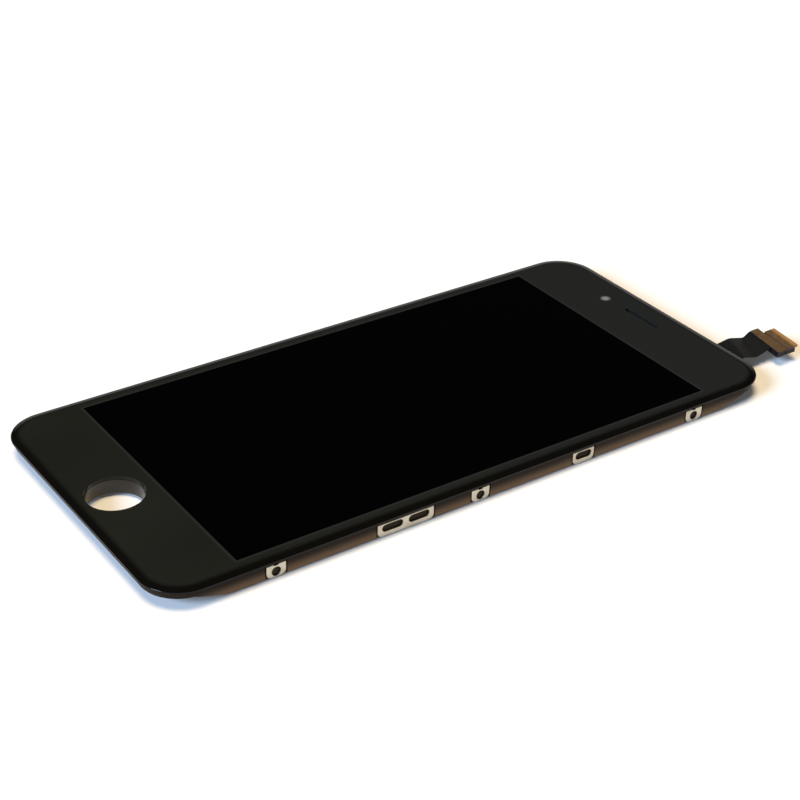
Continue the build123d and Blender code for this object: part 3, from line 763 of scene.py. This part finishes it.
@dataclass(frozen=True)
class SubAssembly:
    """A group of pieces that are made and dressed together.

    Fields:
        wardrobe: Where the finishes come from.
        smooth_below: Angle in degrees below which two faces shade as one surface.
        round_above: Angle in degrees above which an edge counts as sharp and is rounded.
    """

    wardrobe: Wardrobe
    smooth_below: float = 40.0
    round_above: float = 35.0

    def place(self, name: str, shape: bmesh.types.BMesh, slot: Slot, replaced: str) -> None:
        """Turn a finished shape into a piece of the scene.

        Args:
            name: Name of the piece.
            shape: Its closed shape, in metres, where it belongs.
            slot: Slot of its finish.
            replaced: CAD node that it stands for.
        """
        mesh = bpy.data.meshes.new(name)
        for face in shape.faces:
            face.smooth = True
        shape.to_mesh(mesh)
        shape.free()
        mesh.set_sharp_from_angle(angle=math.radians(self.smooth_below))
        piece = bpy.data.objects.new(name, mesh)
        bpy.context.scene.collection.objects.link(piece)
        even = piece.modifiers.new("even_shading", "WEIGHTED_NORMAL")
        even.keep_sharp = True
        self.wardrobe.dress_piece(piece, slot)
        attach(piece, "root")
        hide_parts(replaced)
        log.info("made %s with %d faces", name, len(mesh.polygons))

    def softened(self, node: str, edge_mm: float, segments: int = 2) -> bmesh.types.BMesh:
        """Copy a CAD node's shape and round its sharp edges.

        Args:
            node: Name of the CAD node.
            edge_mm: Size of the rounding.
            segments: Faces across the rounding.

        Returns:
            The softened shape.
        """
        shape = bmesh.new()
        shape.from_mesh(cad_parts[node].data)
        bmesh.ops.remove_doubles(shape, verts=shape.verts, dist=MERGE_MM * MM)
        bmesh.ops.dissolve_limit(shape, angle_limit=math.radians(FLAT_DEGREES), verts=shape.verts,
                                 edges=shape.edges)
        sharp = [edge for edge in shape.edges if len(edge.link_faces) == 2
                 and edge.calc_face_angle() > math.radians(self.round_above)]
        bmesh.ops.bevel(shape, geom=sharp, offset=edge_mm * MM, offset_type="OFFSET",
                        segments=segments, profile=0.5, affect="EDGES", material=-1,
                        clamp_overlap=True)
        return shape


@dataclass(frozen=True)
class SideClips(SubAssembly):
    """The formed spring clips along both sides.

    Fields:
        names: The clips of one side, from the home end to the earpiece end.
        edge_mm: Rounding of their blanked edges.
    """

    names: tuple[str, ...] = (
        "lower_clip", "double_slot_clip", "middle_clip", "single_slot_clip", "upper_clip")
    edge_mm: float = 0.06

    def build(self) -> None:
        """Make every clip with the softened edges of blanked and plated sheet."""
        for name in self.names:
            for side in Side:
                node = f"{name}_{side.value}"
                shape = self.softened(node, self.edge_mm)
                self.place(f"{node}_plated", shape, Slot.CLIP_METAL, node)


@dataclass(frozen=True)
class EndTabs(SubAssembly):
    """The screw tabs at the home end and the hinge tabs at the earpiece end.

    Fields:
        names: One tab of each kind.
        edge_mm: Rounding of their pressed edges.
    """

    names: tuple[str, ...] = ("screw_tab", "hinge_tab")
    edge_mm: float = 0.06

    def build(self) -> None:
        """Make the four tabs with softened edges."""
        for name in self.names:
            for side in Side:
                node = f"{name}_{side.value}"
                shape = self.softened(node, self.edge_mm)
                self.place(f"{node}_pressed", shape, Slot.TAB_STEEL, node)


@dataclass(frozen=True)
class TailTwist:
    """How the flex tail was twisted a little when it was bent.

    Fields:
        pivot_mm: Place across the tail that the twist leaves where it is.
        rows_mm: Places along the tail, each with how far a crossing row lags there for each
            millimetre of width.
    """

    pivot_mm: float = 17.6
    rows_mm: tuple[tuple[float, float], ...] = (
        (68.6, 0.0), (72.2, 0.42), (75.8, 0.42), (78.4, 0.12), (90.0, 0.12))

    def lag(self, along_mm: float) -> float:
        """Find how far a row lags, between the two nearest named rows.

        Args:
            along_mm: Place along the tail.

        Returns:
            Millimetres of lag per millimetre across.
        """
        if along_mm <= self.rows_mm[0][0]:
            return 0.0
        for (start, first), (end, last) in zip(self.rows_mm, self.rows_mm[1:]):
            if along_mm <= end:
                return first + (last - first) * (along_mm - start) / (end - start)
        return self.rows_mm[-1][1]

    def apply(self, shape: bmesh.types.BMesh) -> None:
        """Twist the part of a shape that belongs to the tail.

        Args:
            shape: Shape in metres.
        """
        for vert in shape.verts:
            vert.co.y -= self.lag(vert.co.y / MM) * (vert.co.x - self.pivot_mm * MM)


@dataclass(frozen=True)
class FlexTail(SubAssembly):
    """The flex with its twisted tail, and the two connector heads at the tail's end.

    Fields:
        twist: Twist of the tail.
        heads: The two heads, as the node names give them.
        flex_edge_mm: Rounding of the flex's cut edges.
        stiffener_edge_mm: Rounding of the stiffeners.
        housing_edge_mm: Rounding of the connector housings.
        contact_edge_mm: Rounding of the contacts.
    """

    twist: TailTwist = TailTwist()
    heads: tuple[str, ...] = ("display", "touch")
    flex_edge_mm: float = 0.02
    stiffener_edge_mm: float = 0.05
    housing_edge_mm: float = 0.06
    contact_edge_mm: float = 0.03

    def build(self) -> None:
        """Make the flex, the stiffeners, the housings and the contacts."""
        flex = self.softened("display_flex", self.flex_edge_mm, segments=1)
        self.twist.apply(flex)
        self.place("display_flex_twisted", flex, Slot.FLEX_BLACK, "display_flex")
        parts = (("stiffener", Slot.STIFFENER_BROWN, self.stiffener_edge_mm),
                 ("connector", Slot.CONNECTOR_BLACK, self.housing_edge_mm),
                 ("contacts", Slot.CONTACT_GOLD, self.contact_edge_mm))
        for head in self.heads:
            for part, slot, edge_mm in parts:
                node = f"{head}_{part}"
                shape = self.softened(node, edge_mm)
                self.twist.apply(shape)
                self.place(f"{node}_finished", shape, slot, node)


@dataclass(frozen=True)
class RearCircuit(SubAssembly):
    """The chips and capacitors on the rear flex.

    Fields:
        edge_mm: Rounding of their edges.
    """

    edge_mm: float = 0.06

    def build(self) -> None:
        """Make the chips and the capacitors."""
        for node, slot in (("touch_chip", Slot.BLACK_CHIP), ("backlight_chip", Slot.BLACK_CHIP),
                           ("flex_capacitors", Slot.CAPACITOR_TAN)):
            self.place(f"{node}_moulded", self.softened(node, self.edge_mm), slot, node)


@dataclass(frozen=True)
class EarpieceGrille(SubAssembly):
    """The perforated grille behind the earpiece slot.

    Fields:
        pitch_mm: Distance from hole to hole.
        bar_mm: Half the bar between two holes.
        columns: Holes along the grille.
        rows: Holes across it.
        hole_corner_mm: How much of each hole's corners is cut off.
        hole_sides: Sides that a hole then has.
        corner_mm: Size of the plate's rounded corners.
        corner_segments: Straight runs in one of them.
    """

    pitch_mm: float = 0.42
    bar_mm: float = 0.085
    columns: int = 25
    rows: int = 4
    hole_corner_mm: float = 0.07
    hole_sides: int = 8
    corner_mm: float = 1.2
    corner_segments: int = 5

    def build(self) -> None:
        """Make the grille: a plate full of small holes inside a plain flange."""
        low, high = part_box("earpiece_mesh")
        centre, size = (low + high) / 2, high - low
        shape = bmesh.new()
        self.perforate(shape, size)
        self.round_corners(shape, size)
        bmesh.ops.recalc_face_normals(shape, faces=shape.faces)
        bmesh.ops.solidify(shape, geom=shape.faces, thickness=size.z)
        bottom = min(vert.co.z for vert in shape.verts)
        bmesh.ops.translate(shape, vec=(centre.x, centre.y, low.z - bottom), verts=shape.verts)
        bmesh.ops.recalc_face_normals(shape, faces=shape.faces)
        self.place("earpiece_grille_etched", shape, Slot.MESH_BLACK, "earpiece_mesh")

    def perforate(self, shape: bmesh.types.BMesh, size: Vector) -> None:
        """Lay out the field of holes and the flange round it, flat and centred.

        Args:
            shape: Empty shape that gets them.
            size: Size of the whole plate.
        """
        bmesh.ops.create_grid(shape, x_segments=self.columns, y_segments=self.rows, size=0.5)
        field = Vector((self.columns * self.pitch_mm * MM, self.rows * self.pitch_mm * MM, 1.0))
        bmesh.ops.scale(shape, vec=field, verts=shape.verts)
        cells = list(shape.faces)
        rim = [edge for edge in shape.edges if edge.is_boundary]
        flange = bmesh.ops.extrude_edge_only(shape, edges=rim)["geom"]
        outer = [part for part in flange if isinstance(part, bmesh.types.BMVert)]
        growth = Vector((size.x / field.x, size.y / field.y, 1.0))
        bmesh.ops.scale(shape, vec=growth, verts=outer)
        bmesh.ops.inset_individual(shape, faces=cells, thickness=self.bar_mm * MM)
        corners = [vert for cell in cells for vert in cell.verts]
        bmesh.ops.bevel(shape, geom=corners, offset=self.hole_corner_mm * MM,
                        offset_type="OFFSET", segments=1, profile=0.5, affect="VERTICES",
                        material=-1)
        holes = [face for face in shape.faces if len(face.verts) == self.hole_sides]
        bmesh.ops.delete(shape, geom=holes, context="FACES_ONLY")
        log.info("grille has %d holes", len(holes))

    def round_corners(self, shape: bmesh.types.BMesh, size: Vector) -> None:
        """Round the four corners of the flat plate.

        Args:
            shape: The plate, centred.
            size: Its size.
        """
        corners = [vert for vert in shape.verts if vert.is_boundary and len(vert.link_edges) == 2
                   and abs(abs(vert.co.x) - size.x / 2) < NEAR_MM * MM
                   and abs(abs(vert.co.y) - size.y / 2) < NEAR_MM * MM]
        bmesh.ops.bevel(shape, geom=corners, offset=self.corner_mm * MM, offset_type="OFFSET",
                        segments=self.corner_segments, profile=0.5, affect="VERTICES",
                        material=-1)


@dataclass(frozen=True)
class PhotoCamera:
    """Where the photograph was taken from, in metres and degrees.

    Fields:
        place: Place of the lens.
        azimuth: Turn of the view round the object; 0 looks along Y.
        elevation: Height of the view above the glass.
        roll: Turn of the picture.
        lens: Focal length in millimetres, for the picture width below.
        picture_width: Width of the picture in the camera, in millimetres.
        nearest: Nearest distance that the camera sees.
    """

    place: tuple[float, float, float] = (0.242036, -0.167305, 0.174332)
    azimuth: float = 55.22422
    elevation: float = 30.66704
    roll: float = 1.12930
    lens: float = 80.0189
    picture_width: float = 36.0
    nearest: float = 0.01

    def build(self) -> None:
        """Put up the camera."""
        angles = (self.azimuth, self.elevation, self.roll)
        turn, rise, roll = (math.radians(angle) for angle in angles)
        back = Vector((math.sin(turn) * math.cos(rise), -math.cos(turn) * math.cos(rise),
                       math.sin(rise)))
        level = Vector((math.cos(turn), math.sin(turn), 0.0))
        up = back.cross(level)
        right = math.cos(roll) * level + math.sin(roll) * up
        upward = math.cos(roll) * up - math.sin(roll) * level
        camera = bpy.data.objects.new("photo_camera", bpy.data.cameras.new("photo_camera"))
        camera.data.lens = self.lens
        camera.data.sensor_width = self.picture_width
        camera.data.clip_start = self.nearest
        turned = Matrix((right, upward, back)).transposed().to_4x4()
        camera.matrix_world = Matrix.Translation(self.place) @ turned
        bpy.context.scene.collection.objects.link(camera)
        bpy.context.scene.camera = camera
        log.info("camera at %s", self.place)


@dataclass(frozen=True)
class Lamp:
    """A soft light so far away that it lights the whole floor evenly.

    Fields:
        name: Name of the lamp.
        azimuth: Where it stands, in degrees from X towards Y.
        elevation: How high it stands, in degrees.
        breadth: How wide it looks from the object, in degrees.
        strength: Light on a surface that faces it, in watts per square metre.
        colour: Its colour.
        mirrored: Whether glossy surfaces show it; a lamp overhead would cover the glass.
    """

    name: str
    azimuth: float
    elevation: float
    breadth: float
    strength: float
    colour: str
    mirrored: bool = True

    def build(self) -> None:
        """Put up the lamp."""
        turn, rise = math.radians(self.azimuth), math.radians(self.elevation)
        towards = Vector((math.cos(turn) * math.cos(rise), math.sin(turn) * math.cos(rise),
                          math.sin(rise)))
        light = bpy.data.lights.new(self.name, "SUN")
        light.angle = math.radians(self.breadth)
        light.energy = self.strength
        light.color = linear(self.colour)[:3]
        lamp = bpy.data.objects.new(self.name, light)
        lamp.matrix_world = towards.to_track_quat("Z", "Y").to_matrix().to_4x4()
        lamp.visible_glossy = self.mirrored
        bpy.context.scene.collection.objects.link(lamp)
        log.info("lamp %s", self.name)


@dataclass(frozen=True)
class Studio:
    """The pale floor, the room round it and the lamps.

    Fields:
        floor_radius: Radius of the floor.
        floor_sides: Straight runs in its rim.
        floor_colour: Its colour.
        floor_glow: Light that it adds where it is seen, mirrored or seen through something.
        horizon: Heights in degrees between which the room turns from pale to dark.
        horizon_level: Brightness of the room below them, where 1 is white.
        ceiling_level: Brightness of the room above them.
        lamps: The lamps.
    """

    floor_radius: float = 6.0
    floor_sides: int = 96
    floor_colour: str = "#EFEFEF"
    floor_glow: float = 0.05
    horizon: tuple[float, float] = (14.0, 24.0)
    horizon_level: float = 0.6
    ceiling_level: float = 0.01
    lamps: tuple[Lamp, ...] = (
        Lamp("cool_window", 273.0, 28.0, 26.0, 4.6, "#C0DCFF"),
        Lamp("warm_overhead", 275.0, 83.0, 27.0, 2.8, "#FFE6BC", mirrored=False),
    )

    def build(self, floor_height: float) -> None:
        """Put up the studio.

        Args:
            floor_height: Height of the floor.
        """
        self.build_floor(floor_height)
        self.build_room()
        for lamp in self.lamps:
            lamp.build()

    def build_floor(self, height: float) -> None:
        """Lay the floor: diffuse, and a little brighter to the eye and in reflections.

        Args:
            height: Height of the floor.
        """
        shape = bmesh.new()
        bmesh.ops.create_circle(shape, cap_ends=True, segments=self.floor_sides,
                                radius=self.floor_radius)
        bmesh.ops.translate(shape, vec=(0.0, 0.0, height), verts=shape.verts)
        mesh = bpy.data.meshes.new("studio_floor")
        shape.to_mesh(mesh)
        shape.free()
        floor = bpy.data.objects.new("studio_floor", mesh)
        bpy.context.scene.collection.objects.link(floor)
        material = bpy.data.materials.new("white_paper_sweep")
        material.use_nodes = True
        tree = material.node_tree
        tree.nodes.remove(tree.nodes["Principled BSDF"])
        rays = add_node(tree, "LightPath").outputs
        looked = add_node(tree, "Math", {0: rays["Is Camera Ray"], 1: rays["Is Glossy Ray"]},
                          operation="MAXIMUM")
        seen = add_node(tree, "Math", {0: looked, 1: rays["Is Transmission Ray"]},
                        operation="MAXIMUM")
        glow = add_node(tree, "Math", {0: seen, 1: self.floor_glow}, operation="MULTIPLY")
        paper = add_node(tree, "BsdfDiffuse", {"Color": linear(self.floor_colour)})
        light = add_node(tree, "Emission", {"Color": linear("#FFFFFF"), "Strength": glow})
        both = add_node(tree, "AddShader", {0: paper, 1: light})
        tree.links.new(main_output(both), tree.nodes["Material Output"].inputs["Surface"])
        mesh.materials.append(material)
        log.info("floor at %.4f", height)

    def build_room(self) -> None:
        """Make the room: pale up to just above the horizon, dark overhead, white to the camera."""
        world = bpy.data.worlds.new("studio_room")
        world.use_nodes = True
        tree = world.node_tree
        direction = add_node(tree, "TexCoord").outputs["Generated"]
        height = add_node(tree, "SeparateXYZ", {"Vector": direction}).outputs["Z"]
        low, high = (math.sin(math.radians(angle)) for angle in self.horizon)
        bright = add_node(tree, "MapRange", {
            "Value": height, "From Min": low, "From Max": high,
            "To Min": self.horizon_level, "To Max": self.ceiling_level})
        seen = add_node(tree, "LightPath").outputs["Is Camera Ray"]
        level = add_node(tree, "Math", {0: bright, 1: seen}, operation="MAXIMUM")
        background = tree.nodes["Background"]
        tree.links.new(main_output(level), background.inputs["Strength"])
        background.inputs["Color"].default_value = linear("#FFFFFF")
        bpy.context.scene.world = world
        log.info("room built")


def main() -> None:
    """Build the scene in order: camera, studio, finishes, pieces."""
    logging.basicConfig(level=logging.INFO, format="%(name)s: %(message)s")
    bpy.context.scene.view_settings.view_transform = "Standard"
    PhotoCamera().build()
    Studio().build(cad_box[0][2])
    wardrobe = Wardrobe()
    wardrobe.dress_nodes()
    SideClips(wardrobe).build()
    EndTabs(wardrobe).build()
    FlexTail(wardrobe).build()
    RearCircuit(wardrobe).build()
    EarpieceGrille(wardrobe).build()


if __name__ == "__main__":
    main()
